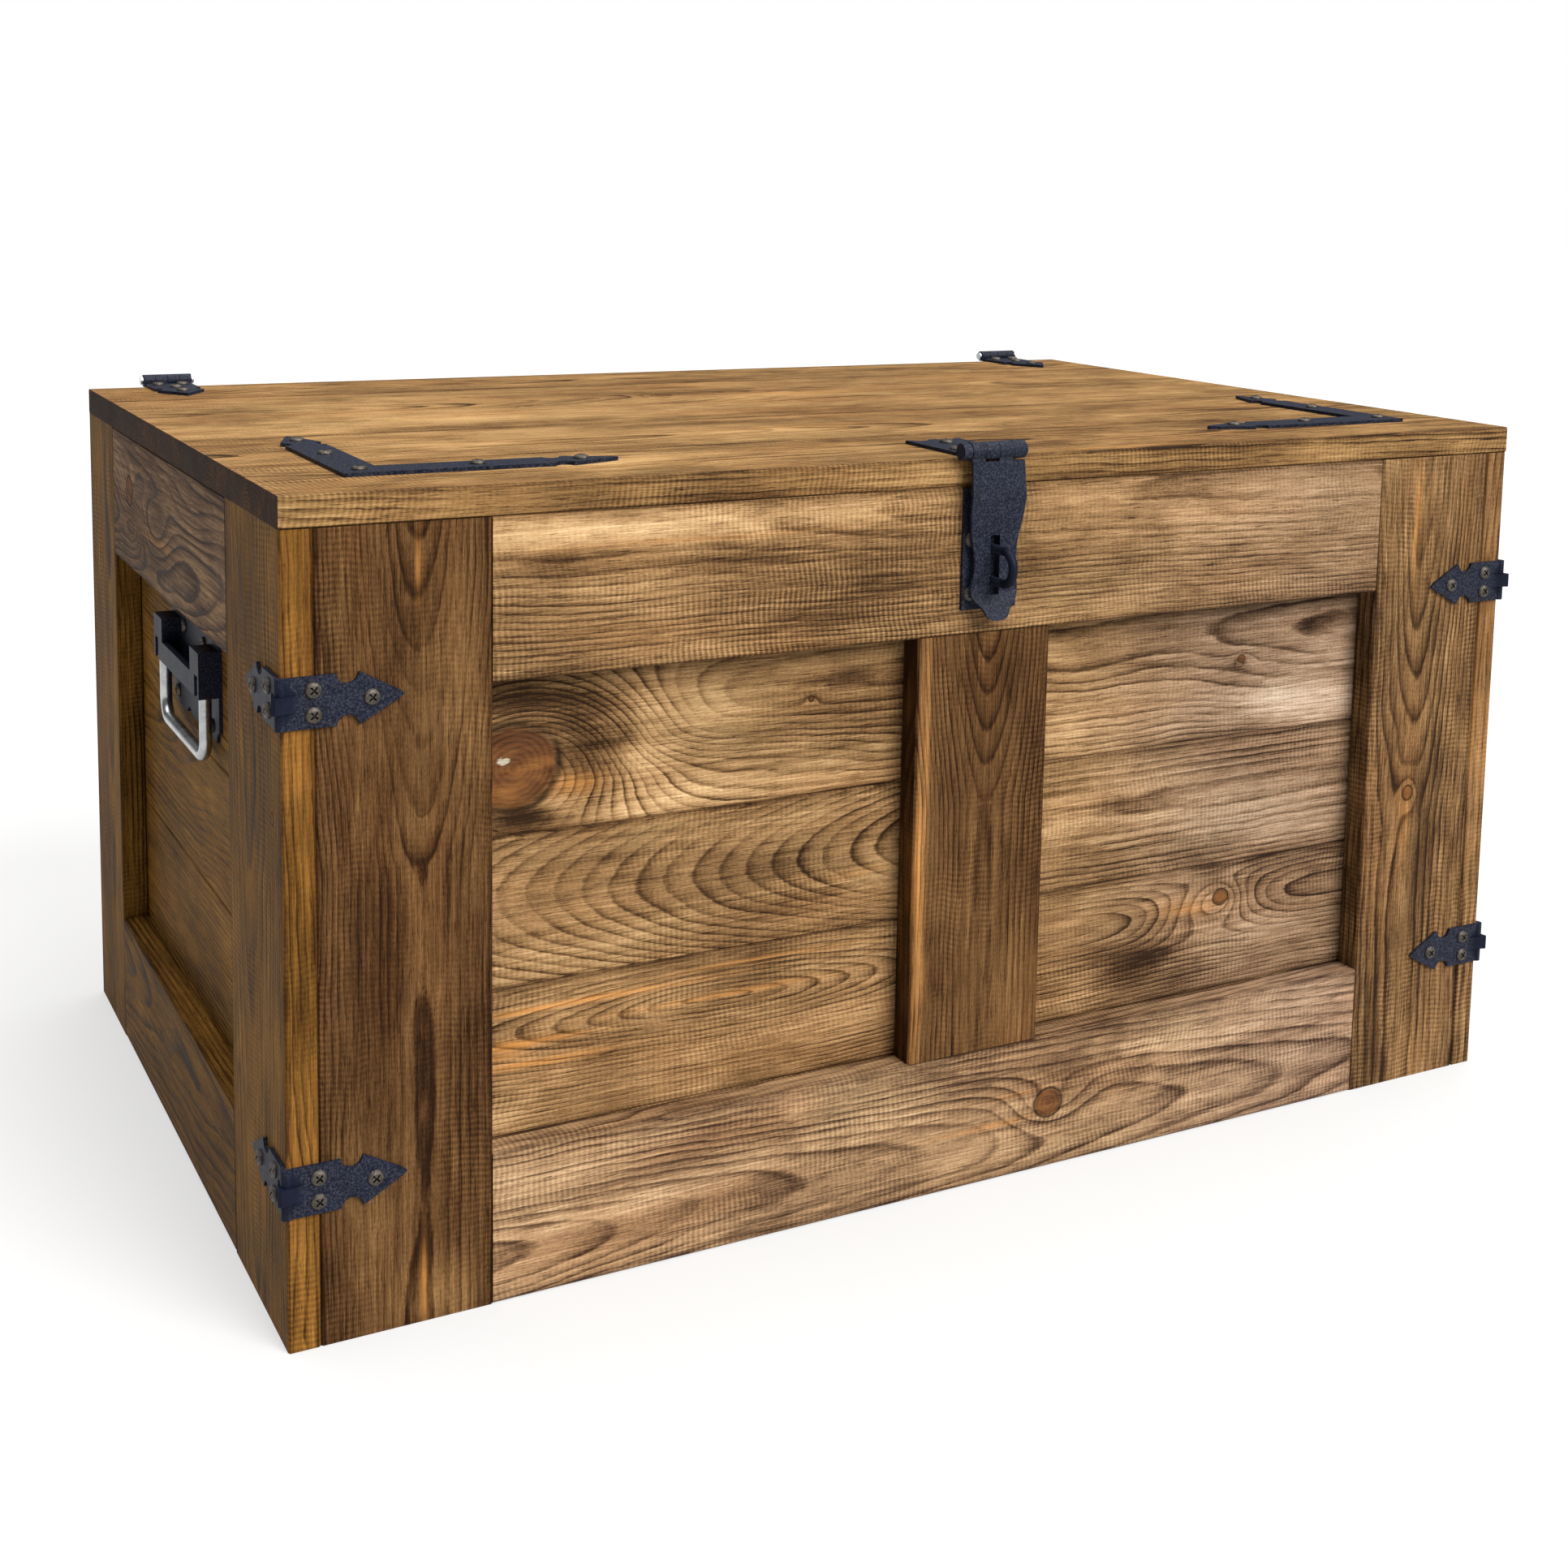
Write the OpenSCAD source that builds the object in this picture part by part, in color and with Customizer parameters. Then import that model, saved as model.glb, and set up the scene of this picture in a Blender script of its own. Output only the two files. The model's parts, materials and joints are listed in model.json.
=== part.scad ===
// Wooden hardware chest: framed board body, hinged lid, hasp and staple, and a
// swinging ring handle on each side.
// Frame: origin at the centre of the base, +X to the right, +Y to the back, +Z up.
// All lengths are in millimetres.

/* [Chest body] */
// Overall width, left to right
body_w = 780; // [700:10:900]
// Overall depth, front to back
body_d = 500; // [460:10:600]
// Height of the body up to the lid
body_h = 404; // [390:2:460]
// Thickness of the boards and rails
board_t = 16; // [14:1:18]
// Ease on the long edges of every board
edge_ease = 1; // [0.5:0.5:2]
// Height of the upper rails
top_rail_h = 82; // [70:1:90]
// Height of the lower rails
bottom_rail_h = 80; // [70:1:90]
// Height of each of the two middle board rows
row_h = 79; // [60:1:85]
// Width of the two outer front stiles
front_stile_w = 88; // [70:1:110]
// Width of the stile in the middle of the front
centre_stile_w = 86; // [60:1:110]
// Width of the side stiles at the front corners
side_stile_front_w = 108; // [90:1:130]
// Width of the side stiles at the back corners
side_stile_back_w = 85; // [70:1:110]
// Side of the square posts in the corners inside
post_w = 32; // [20:1:40]
// Number of boards in the floor
floor_count = 5; // [3:1:7]

/* [Lid] */
// Thickness of the lid planks
lid_t = 16; // [14:1:18]
// Depth of the front plank
plank_1_d = 97; // [80:1:110]
// Depth of the second plank
plank_2_d = 111; // [90:1:120]
// Depth of the third and widest plank
plank_3_d = 208; // [150:1:210]
// Width of the two battens under the lid
batten_w = 44; // [30:1:60]
// Distance of each batten from the middle of the lid
batten_x = 250; // [200:5:300]

/* [Plates and screws] */
// Thickness of the brackets, leaves and plates
plate_t = 2; // [1.5:0.5:2]
// Diameter of a screw head
head_d = 8; // [7:0.5:9]
// Diameter of a screw shank
shank_d = 4; // [3:0.5:4]
// Length of a screw under its head
screw_len = 13; // [10:1:14]
// Height of the corner brackets
bracket_w = 25; // [22:1:30]
// Reach of each bracket leg from the corner
bracket_leg = 59; // [55:1:70]
// Width of the legs of the lid brackets
lid_bracket_w = 22; // [18:1:26]
// Length of the legs of the lid brackets
lid_bracket_leg = 150; // [145:1:180]

/* [Hinges] */
// Distance of each hinge from the side of the chest
hinge_inset = 52; // [40:1:90]
// Diameter of the hinge barrel
hinge_barrel_d = 8; // [7:0.5:8]
// Diameter of the hinge pin
hinge_pin_d = 4; // [3:0.5:4]
// Reach of the leaf on the lid from the pin
lid_leaf = 68; // [66:1:90]
// Reach of the leaf on the back from the pin
back_leaf = 84; // [82:1:110]

/* [Hasp] */
// Diameter of the hasp barrel
hasp_barrel_d = 10; // [9:0.5:10]
// Width of the hasp leaf and the staple plate
hasp_w = 35; // [33:1:36]
// Wire diameter of the staple
staple_wire = 5; // [4:0.5:5]

/* [Handles] */
// Length of the handle plate, front to back
handle_plate_l = 120; // [116:1:150]
// Diameter of the ring's wire
ring_wire = 7; // [6:0.5:7]
// Drop of the ring below its pivot
ring_drop = 47; // [35:1:60]

/* [Hidden] */

wood_dark = "#5b3a22";
wood_mid = "#8a5c34";
wood_pale = "#b98a55";
iron = "#2a2d36";
steel = "#a9adb2";
screw_metal = "#77746d";

half_w = body_w / 2;
half_d = body_d / 2;
top_z = body_h + lid_t;
inner_w = half_w - board_t;
inner_d = half_d - board_t;
front_y = -inner_d;
wall_x = inner_w - board_t;
wall_y = front_y + board_t;
row_z = [
  0,
  bottom_rail_h,
  bottom_rail_h + row_h,
  bottom_rail_h + 2 * row_h,
  body_h - top_rail_h,
  body_h
];
plank_y = [
  -half_d,
  -half_d + plank_1_d,
  -half_d + plank_1_d + plank_2_d,
  -half_d + plank_1_d + plank_2_d + plank_3_d,
  half_d
];
batten_y = [-half_d + 45, half_d - 35];
batten_screw_y = [
  plank_y[1] - 26,
  (plank_y[1] + plank_y[2]) / 2,
  plank_y[2] + 50,
  plank_y[3] - 50,
  plank_y[3] + 24
];
batten_screw_l = 28;
big = 2000;

// Screws
head_r = head_d / 2;
head_h = 2.2;
shank_r = shank_d / 2;
plate_hole_r = shank_r + 0.2;
point_l = 3;
point_r = 0.5;
slot_w = 0.9;
slot_l = 4.6;
slot_deep = 1.2;

// Corner brackets: a leg each way round the front corners
bracket_z = [bottom_rail_h + 2, body_h - top_rail_h];
bracket_notch = 31.5;
bracket_notch_r = 5.5;
bracket_near = 15;
bracket_near_dz = 6;
bracket_far = 43;
bend_r = 3;
gusset_reach = 9;
gusset_out = 3.2;
gusset_h = 8;

// Lid brackets: an L on each front corner of the lid
lid_bracket_x = half_w - 44;
lid_bracket_y = -half_d + 46;
lid_bracket_at = [lid_bracket_w / 2, 72.5, 129];
lid_bracket_notch = 116;
lid_bracket_notch_r = 5;

// Hinges
hinge_x = half_w - hinge_inset;
hinge_y = half_d + hinge_barrel_d / 2;
hinge_z = top_z + hinge_barrel_d / 2;
hinge_w = 30;
hinge_seg = 8;
seg_gap = 0.3;
run_fit = 0.05;
leaf_clear = 0.7;
leaf_notch_r = 5;
lid_leaf_notch = 40;
lid_leaf_screws = [[12, 8], [12, -8], [30, 0], [52, 0]];
back_leaf_notch = 55;
back_leaf_screws = [[30, 8], [30, -8], [44, 0], [67, 0]];
pin_head_r = 3;
pin_head_l = 1.4;

// Hasp
hasp_y = -half_d - hasp_barrel_d / 2;
hasp_z = top_z + 4;
hasp_seg = hasp_w / 4;
hasp_pin_r = 2.5;
hasp_end_r = 4.6;
hasp_end_l = 5;
hasp_leaf_l = 66;
hasp_leaf_bite = 6.5;
hasp_leaf_screws = [[23, 10.5], [23, -10.5], [50, 0]];
strap_top = hasp_barrel_d / 2 + leaf_clear;
strap_inner = [[-0.9, 0], [-3.5, -26], [0, -46], [0, -78], [-7, -96.5]];
strap_half = [
  [16.7, -strap_top], [16.9, -14], [17.2, -22], [17.3, -28], [17, -34], [16, -42],
  [15, -48], [13.6, -55], [12.8, -61], [13, -66], [14.2, -71], [15, -75],
  [14.8, -79], [13.4, -82], [11, -84.2], [9.2, -86], [8.2, -88], [7.2, -90],
  [5.8, -91.6], [4, -92.6], [1.6, -93]
];
strap_slot_w = 6;
strap_slot = [-79.5, -46.5];
staple_top = -21;
staple_bottom = -88;
staple_screw_x = 12.5;
staple_screw_z = [-49, -79];
staple_mid = -63;
staple_r = 9;
staple_arm = 14;

// Side handles
handle_z = body_h - 117;
handle_up = 21.5;
handle_down = 35;
handle_notch_r = 7;
pivot_out = 8;
ear_w = 22;
ear_out = 13;
ear_low = 8;
ear_high = 18;
ear_slot_w = ring_wire + 1;
ear_slot_top = 4.5;
ear_slot_in = 3.6;
ear_wall = 3;
clamp_bar_h = 12;
clamp_bar_t = 3.5;
handle_bolts = [[25, 15.5], [-25, 15.5], [44, -27], [-44, -27]];
ring_half = handle_plate_l / 2 - ear_wall - ear_slot_w / 2;
ring_corner = 12;
ring_stub = 12;

// Outline of a board's end with its four edges eased
module eased(w, h) {
  e = edge_ease;
  polygon([
    [e, 0], [w - e, 0], [w, e], [w, h - e], [w - e, h], [e, h], [0, h - e], [0, e]
  ]);
}

// Board between two corners, with its grain and eased edges along x, y or z
module board(a, b, along) {
  d = b - a;
  translate(a)
    if (along == "x")
      rotate([90, 0, 90]) linear_extrude(d[0]) eased(d[1], d[2]);
    else if (along == "y")
      translate([0, d[1], 0]) rotate([90, 0, 0]) linear_extrude(d[1]) eased(d[0], d[2]);
    else
      linear_extrude(d[2]) eased(d[0], d[1]);
}

// Places a piece on an outer face, with its own +Z pointing out of that face
module on_front(x, z, out) translate([x, -half_d - out, z]) rotate([90, 0, 0]) children();
module on_back(x, z, out) translate([x, half_d + out, z]) rotate([-90, 0, 0]) children();
module on_lid(x, y, out) translate([x, y, top_z + out]) children();
module on_side(side, y, z, out)
  translate([side * (half_w + out), y, z]) rotate([0, side * 90, 0]) children();

// Wood screw with a domed cross-recess head, its head resting on z = 0
module screw() {
  difference() {
    rotate_extrude($fn = 24) polygon([
      [0, -screw_len], [point_r, -screw_len], [shank_r, point_l - screw_len],
      [shank_r, 0], [head_r, 0], [head_r, 0.7], [0.88 * head_r, 1.5],
      [0.55 * head_r, 2], [0, head_h]
    ]);
    for (a = [45, 135])
      rotate([0, 0, a])
        translate([-slot_l / 2, -slot_w / 2, head_h - slot_deep])
          cube([slot_l, slot_w, head_h]);
  }
}

// Hole that a screw cuts for itself in the wood
module pilot() {
  rotate_extrude($fn = 24) polygon([
    [0, -screw_len], [point_r, -screw_len], [shank_r, point_l - screw_len],
    [shank_r, 0], [0, 0]
  ]);
}

// Clearance hole through a plate lying on z = 0 and below
module plate_hole() translate([0, 0, -4 * plate_t]) cylinder(r = plate_hole_r, h = 6 * plate_t, $fn = 24);

// Leg of a plate along x: straight, notched on both edges, then an arrow point
module arrow_leg(w, from, notch, notch_r, tip) {
  shoulder = notch + notch_r + 0.8;
  nose = 1.6;
  difference() {
    polygon([
      [from, -w / 2], [shoulder, -w / 2], [tip - nose, -nose], [tip, 0],
      [tip - nose, nose], [shoulder, w / 2], [from, w / 2]
    ]);
    for (s = [-1, 1])
      translate([notch, s * (w / 2 + 0.6)]) circle(r = notch_r, $fn = 32);
  }
}

// Knuckles of one leaf along x: the numbered ones of four
module knuckles(r, seg, which) {
  for (i = which)
    translate([(i - 1.5) * seg, 0, 0])
      rotate([0, 90, 0])
        cylinder(r = r, h = seg - seg_gap, center = true, $fn = 40);
}

// Tabs that join a leaf to its knuckles, from the pin out to x = reach, counted
// along +y, or along -y on a leaf whose outline is turned the other way
module knuckle_tabs(reach, seg, which, way = 1) {
  for (i = which)
    translate([0, way * (i - 1.5) * seg - (seg - seg_gap) / 2])
      square([reach, seg - seg_gap]);
}

// Screw positions, each with the screw's own +Z out of the face
module at_corner_bracket_screws() {
  for (side = [-1, 1], z = bracket_z, p = [[bracket_near, 1], [bracket_near, -1], [bracket_far, 0]]) {
    on_front(side * (half_w - p[0]), z + p[1] * bracket_near_dz, plate_t) children();
    on_side(side, -half_d + p[0], z + p[1] * bracket_near_dz, plate_t) children();
  }
}

module at_lid_bracket_screws() {
  for (side = [-1, 1], p = lid_bracket_at)
    on_lid(side * (lid_bracket_x - p), lid_bracket_y + lid_bracket_w / 2, plate_t) children();
  for (side = [-1, 1], i = [1, 2])
    on_lid(side * (lid_bracket_x - lid_bracket_w / 2), lid_bracket_y + lid_bracket_at[i], plate_t)
      children();
}

module at_hinge_lid_screws() {
  for (side = [-1, 1], p = lid_leaf_screws)
    on_lid(side * hinge_x + p[1], hinge_y - p[0], plate_t) children();
}

module at_hinge_back_screws() {
  for (side = [-1, 1], p = back_leaf_screws)
    on_back(side * hinge_x + p[1], hinge_z - p[0], plate_t) children();
}

module at_hasp_leaf_screws() {
  for (p = hasp_leaf_screws)
    on_lid(p[1], hasp_y + p[0], plate_t) children();
}

module at_staple_screws() {
  for (s = [-1, 1], z = staple_screw_z)
    on_front(s * staple_screw_x, hasp_z + z, plate_t) children();
}

module at_handle_screws() {
  for (side = [-1, 1], p = handle_bolts)
    on_side(side, p[0], handle_z + p[1], plate_t - board_t) children();
}

module at_batten_screws() {
  for (side = [-1, 1], y = batten_screw_y)
    translate([side * batten_x, y, body_h - board_t]) rotate([180, 0, 0]) children();
}

// Cuts every screw's own hole out of the wood that it goes through
module drilled_front() difference() {
  children();
  at_corner_bracket_screws() pilot();
}

module drilled_staple() difference() {
  children();
  at_staple_screws() pilot();
}

module drilled_back() difference() {
  children();
  at_hinge_back_screws() pilot();
}

module drilled_side() difference() {
  children();
  at_handle_screws() pilot();
}

// Front frame
module front_stile(side)
  color(wood_mid)
    drilled_front()
      board(
        [side > 0 ? inner_w - front_stile_w : -inner_w, -half_d, 0],
        [side > 0 ? inner_w : front_stile_w - inner_w, front_y, body_h],
        "z"
      );
module front_stile_left() front_stile(-1);
module front_stile_right() front_stile(1);

module front_stile_centre()
  color(wood_dark)
    board(
      [-centre_stile_w / 2, -half_d, row_z[1]],
      [centre_stile_w / 2, front_y, row_z[4]],
      "z"
    );

module front_rail(low, high)
  board(
    [front_stile_w - inner_w, -half_d, low],
    [inner_w - front_stile_w, front_y, high],
    "x"
  );
module front_rail_top() color(wood_mid) drilled_staple() front_rail(row_z[4], body_h);
module front_rail_bottom() color(wood_dark) front_rail(0, row_z[1]);

// Side frames
module side_stile(side, from, to)
  color(wood_mid)
    board(
      [side > 0 ? inner_w : -half_w, from, 0],
      [side > 0 ? half_w : -inner_w, to, body_h],
      "z"
    );
module side_stile_front(side) drilled_front() side_stile(side, -half_d, side_stile_front_w - half_d);
module side_stile_back(side) side_stile(side, half_d - side_stile_back_w, half_d);
module side_stile_front_left() side_stile_front(-1);
module side_stile_front_right() side_stile_front(1);
module side_stile_back_left() side_stile_back(-1);
module side_stile_back_right() side_stile_back(1);

module side_rail(side, low, high)
  color(wood_mid)
    board(
      [side > 0 ? inner_w : -half_w, side_stile_front_w - half_d, low],
      [side > 0 ? half_w : -inner_w, half_d - side_stile_back_w, high],
      "y"
    );
module side_rail_top_left() side_rail(-1, row_z[4], body_h);
module side_rail_top_right() side_rail(1, row_z[4], body_h);
module side_rail_bottom_left() side_rail(-1, 0, row_z[1]);
module side_rail_bottom_right() side_rail(1, 0, row_z[1]);

// Board rows, numbered from the base up
module front_board(i)
  color(wood_pale)
    board(
      [-inner_w, front_y, row_z[i - 1]],
      [inner_w, front_y + board_t, row_z[i]],
      "x"
    );
module front_board_1() front_board(1);
module front_board_2() front_board(2);
module front_board_3() front_board(3);
module front_board_4() front_board(4);
module front_board_5() front_board(5);

module back_board(i)
  color(wood_mid)
    board([-inner_w, inner_d, row_z[i - 1]], [inner_w, half_d, row_z[i]], "x");
module back_board_1() back_board(1);
module back_board_2() back_board(2);
module back_board_3() back_board(3);
module back_board_4() back_board(4);
module back_board_5() drilled_back() back_board(5);

module side_boards(side)
  color(wood_mid)
    drilled_side()
      for (i = [0:4])
        board(
          [side > 0 ? inner_w - board_t : -inner_w, front_y + board_t, row_z[i]],
          [side > 0 ? inner_w : board_t - inner_w, inner_d, row_z[i + 1]],
          "y"
        );
module side_boards_left() side_boards(-1);
module side_boards_right() side_boards(1);

// Inside: a floor flush with the base, a cleat along each end of it, and a post in each corner
module floor_cleats()
  color(wood_mid)
    for (side = [-1, 1])
      board(
        [side > 0 ? wall_x - post_w : -wall_x, wall_y, board_t],
        [side > 0 ? wall_x : post_w - wall_x, inner_d, 2 * board_t],
        "y"
      );

module floor_boards() {
  depth = (inner_d - wall_y) / floor_count;
  color(wood_pale)
    for (i = [0:floor_count - 1])
      board(
        [-wall_x, wall_y + i * depth, 0],
        [wall_x, wall_y + (i + 1) * depth, board_t],
        "x"
      );
}

module corner_posts()
  color(wood_mid)
    for (side = [-1, 1], end = [-1, 1])
      board(
        [
          side > 0 ? wall_x - post_w : -wall_x,
          end > 0 ? inner_d - post_w : wall_y,
          2 * board_t
        ],
        [
          side > 0 ? wall_x : post_w - wall_x,
          end > 0 ? inner_d : wall_y + post_w,
          body_h - board_t
        ],
        "z"
      );

// Lid planks, numbered from the front
module lid_plank(i)
  color(wood_pale)
    difference() {
      board([-half_w, plank_y[i - 1], body_h], [half_w, plank_y[i], top_z], "x");
      at_lid_bracket_screws() pilot();
      at_hinge_lid_screws() pilot();
      at_hasp_leaf_screws() pilot();
      at_batten_screws() batten_pilot();
    }
module lid_plank_1() lid_plank(1);
module lid_plank_2() lid_plank(2);
module lid_plank_3() lid_plank(3);
module lid_plank_4() lid_plank(4);

// Battens across the underside of the lid
module lid_batten(side)
  color(wood_mid)
    difference() {
      board(
        [side * batten_x - batten_w / 2, batten_y[0], body_h - board_t],
        [side * batten_x + batten_w / 2, batten_y[1], body_h],
        "y"
      );
      at_batten_screws() batten_pilot();
    }
module lid_batten_left() lid_batten(-1);
module lid_batten_right() lid_batten(1);

module batten_pilot()
  translate([0, 0, -batten_screw_l]) cylinder(r = shank_r, h = batten_screw_l, $fn = 24);

module batten_screws()
  color(screw_metal)
    at_batten_screws() {
      difference() {
        rotate_extrude($fn = 24) polygon([
          [0, -batten_screw_l], [shank_r, -batten_screw_l], [shank_r, 0],
          [head_r, 0], [head_r, 0.7], [0.88 * head_r, 1.5], [0.55 * head_r, 2],
          [0, head_h]
        ]);
        for (a = [45, 135])
          rotate([0, 0, a])
            translate([-slot_l / 2, -slot_w / 2, head_h - slot_deep])
              cube([slot_l, slot_w, head_h]);
      }
    }

// Corner brackets wrapped round the two front corners
module corner_bracket() {
  bracket_side(0);
  bracket_side(1);
  difference() {
    union() {
      translate([0, 0, -bracket_w / 2]) cylinder(r = bend_r, h = bracket_w, $fn = 40);
      translate([0, 0, -gusset_h / 2])
        linear_extrude(gusset_h)
          polygon([
            [-plate_t, gusset_reach], [-plate_t - gusset_out, -plate_t - gusset_out / 2],
            [-plate_t - gusset_out / 2, -plate_t - gusset_out], [gusset_reach, -plate_t],
            [0, 0]
          ]);
    }
    translate([0, 0, -bracket_w]) cube([big, big, 2 * bracket_w]);
  }
}

// Leg 0 lies on the front, leg 1 on the side
module bracket_side(turn) {
  rotate(turn == 0 ? [90, 0, 0] : [0, -90, 0])
    linear_extrude(plate_t)
      rotate(turn == 0 ? 0 : 90)
        arrow_leg(bracket_w, 0, bracket_notch, bracket_notch_r, bracket_leg);
}

module corner_brackets()
  color(iron)
    difference() {
      for (side = [-1, 1], z = bracket_z)
        translate([side * half_w, -half_d, z])
          rotate([0, 0, side > 0 ? 90 : 0])
            corner_bracket();
      at_corner_bracket_screws() plate_hole();
    }
module corner_bracket_screws() color(screw_metal) at_corner_bracket_screws() screw();

// Brackets on the lid's front corners
module lid_brackets()
  color(iron)
    difference() {
      for (side = [-1, 1])
        translate([side * lid_bracket_x, lid_bracket_y, top_z])
          rotate([0, 0, side > 0 ? 90 : 0])
            linear_extrude(plate_t)
              union() {
                translate([0, lid_bracket_w / 2])
                  arrow_leg(
                    lid_bracket_w, 0, lid_bracket_notch, lid_bracket_notch_r, lid_bracket_leg
                  );
                translate([lid_bracket_w / 2, 0])
                  rotate(90)
                    arrow_leg(
                      lid_bracket_w, 0, lid_bracket_notch, lid_bracket_notch_r, lid_bracket_leg
                    );
              }
      at_lid_bracket_screws() plate_hole();
    }
module lid_bracket_screws() color(screw_metal) at_lid_bracket_screws() screw();

// Hinges
module hinge_bore(r) rotate([0, 90, 0]) cylinder(r = r, h = big, center = true, $fn = 32);

module hinge_lid_leaves()
  color(iron)
    difference() {
      for (side = [-1, 1])
        translate([side * hinge_x, hinge_y, hinge_z]) {
          translate([0, 0, top_z - hinge_z])
            linear_extrude(plate_t)
              rotate(-90) {
                arrow_leg(
                  hinge_w, hinge_barrel_d / 2 + leaf_clear, lid_leaf_notch, leaf_notch_r, lid_leaf
                );
                knuckle_tabs(hinge_barrel_d / 2 + leaf_clear, hinge_seg, [0, 2]);
              }
          knuckles(hinge_barrel_d / 2, hinge_seg, [0, 2]);
        }
      translate([0, hinge_y, hinge_z]) hinge_bore(hinge_pin_d / 2 + run_fit);
      at_hinge_lid_screws() plate_hole();
    }

module hinge_back_leaves()
  color(iron)
    difference() {
      for (side = [-1, 1])
        translate([side * hinge_x, hinge_y, hinge_z]) {
          translate([0, half_d - hinge_y, 0])
            rotate([-90, 0, 0])
              linear_extrude(plate_t)
                rotate(90) {
                  arrow_leg(
                    hinge_w, hinge_barrel_d / 2 + leaf_clear, back_leaf_notch, leaf_notch_r,
                    back_leaf
                  );
                  knuckle_tabs(hinge_barrel_d / 2 + leaf_clear, hinge_seg, [1, 3], -1);
                }
          knuckles(hinge_barrel_d / 2, hinge_seg, [1, 3]);
        }
      translate([0, hinge_y, hinge_z]) hinge_bore(hinge_pin_d / 2 + run_fit);
      at_hinge_back_screws() plate_hole();
    }

module hinge_pins()
  color(steel)
    for (side = [-1, 1])
      translate([side * hinge_x, hinge_y, hinge_z])
        rotate([0, 90, 0]) {
          span = 4 * hinge_seg + seg_gap;
          cylinder(r = hinge_pin_d / 2, h = span, center = true, $fn = 32);
          for (s = [-1, 1])
            translate([0, 0, s * (span + pin_head_l) / 2])
              cylinder(r = pin_head_r, h = pin_head_l, center = true, $fn = 32);
        }
module hinge_lid_screws() color(screw_metal) at_hinge_lid_screws() screw();
module hinge_back_screws() color(screw_metal) at_hinge_back_screws() screw();

// Hasp: the leaf on the lid, the strap that swings over the staple, and their pin
module hasp_leaf()
  color(iron)
    difference() {
      translate([0, hasp_y, hasp_z]) {
        translate([0, 0, top_z - hasp_z])
          linear_extrude(plate_t)
            rotate(90) {
              difference() {
                translate([strap_top, -hasp_w / 2]) square([hasp_leaf_l - strap_top, hasp_w]);
                for (s = [-1, 1])
                  translate([hasp_leaf_l + 2, s * 8.5]) circle(r = hasp_leaf_bite, $fn = 32);
              }
              knuckle_tabs(strap_top, hasp_seg, [1, 3], -1);
            }
        knuckles(hasp_barrel_d / 2, hasp_seg, [1, 3]);
      }
      translate([0, hasp_y, hasp_z]) hinge_bore(hasp_pin_r + run_fit);
      at_hasp_leaf_screws() plate_hole();
    }
module hasp_leaf_screws() color(screw_metal) at_hasp_leaf_screws() screw();

module strap_side() {
  inner = strap_inner;
  outer = [for (i = [len(inner) - 1:-1:0]) [inner[i][0] - plate_t, inner[i][1]]];
  polygon(concat(inner, outer));
}

module strap_front() {
  left = [for (i = [len(strap_half) - 1:-1:0]) [-strap_half[i][0], strap_half[i][1]]];
  difference() {
    union() {
      polygon(concat(strap_half, left));
      rotate(-90) knuckle_tabs(strap_top + 0.5, hasp_seg, [0, 2]);
    }
    translate([-strap_slot_w / 2, strap_slot[0]])
      square([strap_slot_w, strap_slot[1] - strap_slot[0]]);
  }
}

module hasp_strap()
  color(iron)
    translate([0, hasp_y, hasp_z])
      difference() {
        union() {
          intersection() {
            rotate([90, 0, 90]) linear_extrude(2 * hasp_w, center = true) strap_side();
            translate([0, hasp_w, 0]) rotate([90, 0, 0]) linear_extrude(2 * hasp_w) strap_front();
          }
          knuckles(hasp_barrel_d / 2, hasp_seg, [0, 2]);
        }
        hinge_bore(hasp_pin_r + run_fit);
      }

module hasp_pin()
  color(iron)
    translate([0, hasp_y, hasp_z])
      rotate([0, 90, 0]) {
        span = hasp_w + seg_gap;
        cylinder(r = hasp_pin_r, h = span, center = true, $fn = 32);
        translate([0, 0, -span / 2 - hasp_end_l]) cylinder(r = hasp_end_r, h = hasp_end_l, $fn = 40);
        translate([0, 0, span / 2]) cylinder(r = hasp_end_r - 1, h = 1, $fn = 40);
      }

module staple_plate()
  color(iron)
    difference() {
      translate([-hasp_w / 2, -half_d - plate_t, hasp_z + staple_bottom])
        cube([hasp_w, plate_t, staple_top - staple_bottom]);
      at_staple_screws() plate_hole();
      staple_arms();
    }
module staple_screws() color(screw_metal) at_staple_screws() screw();

module staple_arms()
  for (s = [-1, 1])
    translate([0, -half_d, hasp_z + staple_mid + s * staple_r])
      rotate([90, 0, 0])
        cylinder(r = staple_wire / 2, h = plate_t + staple_arm, $fn = 32);

module staple()
  color(iron) {
    staple_arms();
    translate([0, -half_d - plate_t - staple_arm, hasp_z + staple_mid])
      rotate([180, -90, 0])
        rotate_extrude(angle = 180, $fn = 48)
          translate([staple_r, 0])
            circle(r = staple_wire / 2, $fn = 32);
  }

// Side handles are drawn with x out of the recessed side boards
module at_handles(sides = [-1, 1])
  for (side = sides)
    translate([side * inner_w, 0, handle_z])
      rotate([0, 0, side > 0 ? 0 : 180])
        children();

module handle_plates()
  color(iron)
    difference() {
      at_handles()
        rotate([90, 0, 90])
          linear_extrude(plate_t)
            difference() {
              translate([-handle_plate_l / 2, -handle_down])
                square([handle_plate_l, handle_up + handle_down]);
              for (s = [-1, 1]) {
                translate([s * handle_plate_l / 2, -handle_down])
                  circle(r = handle_notch_r, $fn = 32);
                translate([s * 16, -handle_down - 3])
                  circle(r = handle_notch_r, $fn = 32);
              }
            }
      at_handle_screws() plate_hole();
    }
module handle_screws() color(screw_metal) at_handle_screws() screw();

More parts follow.
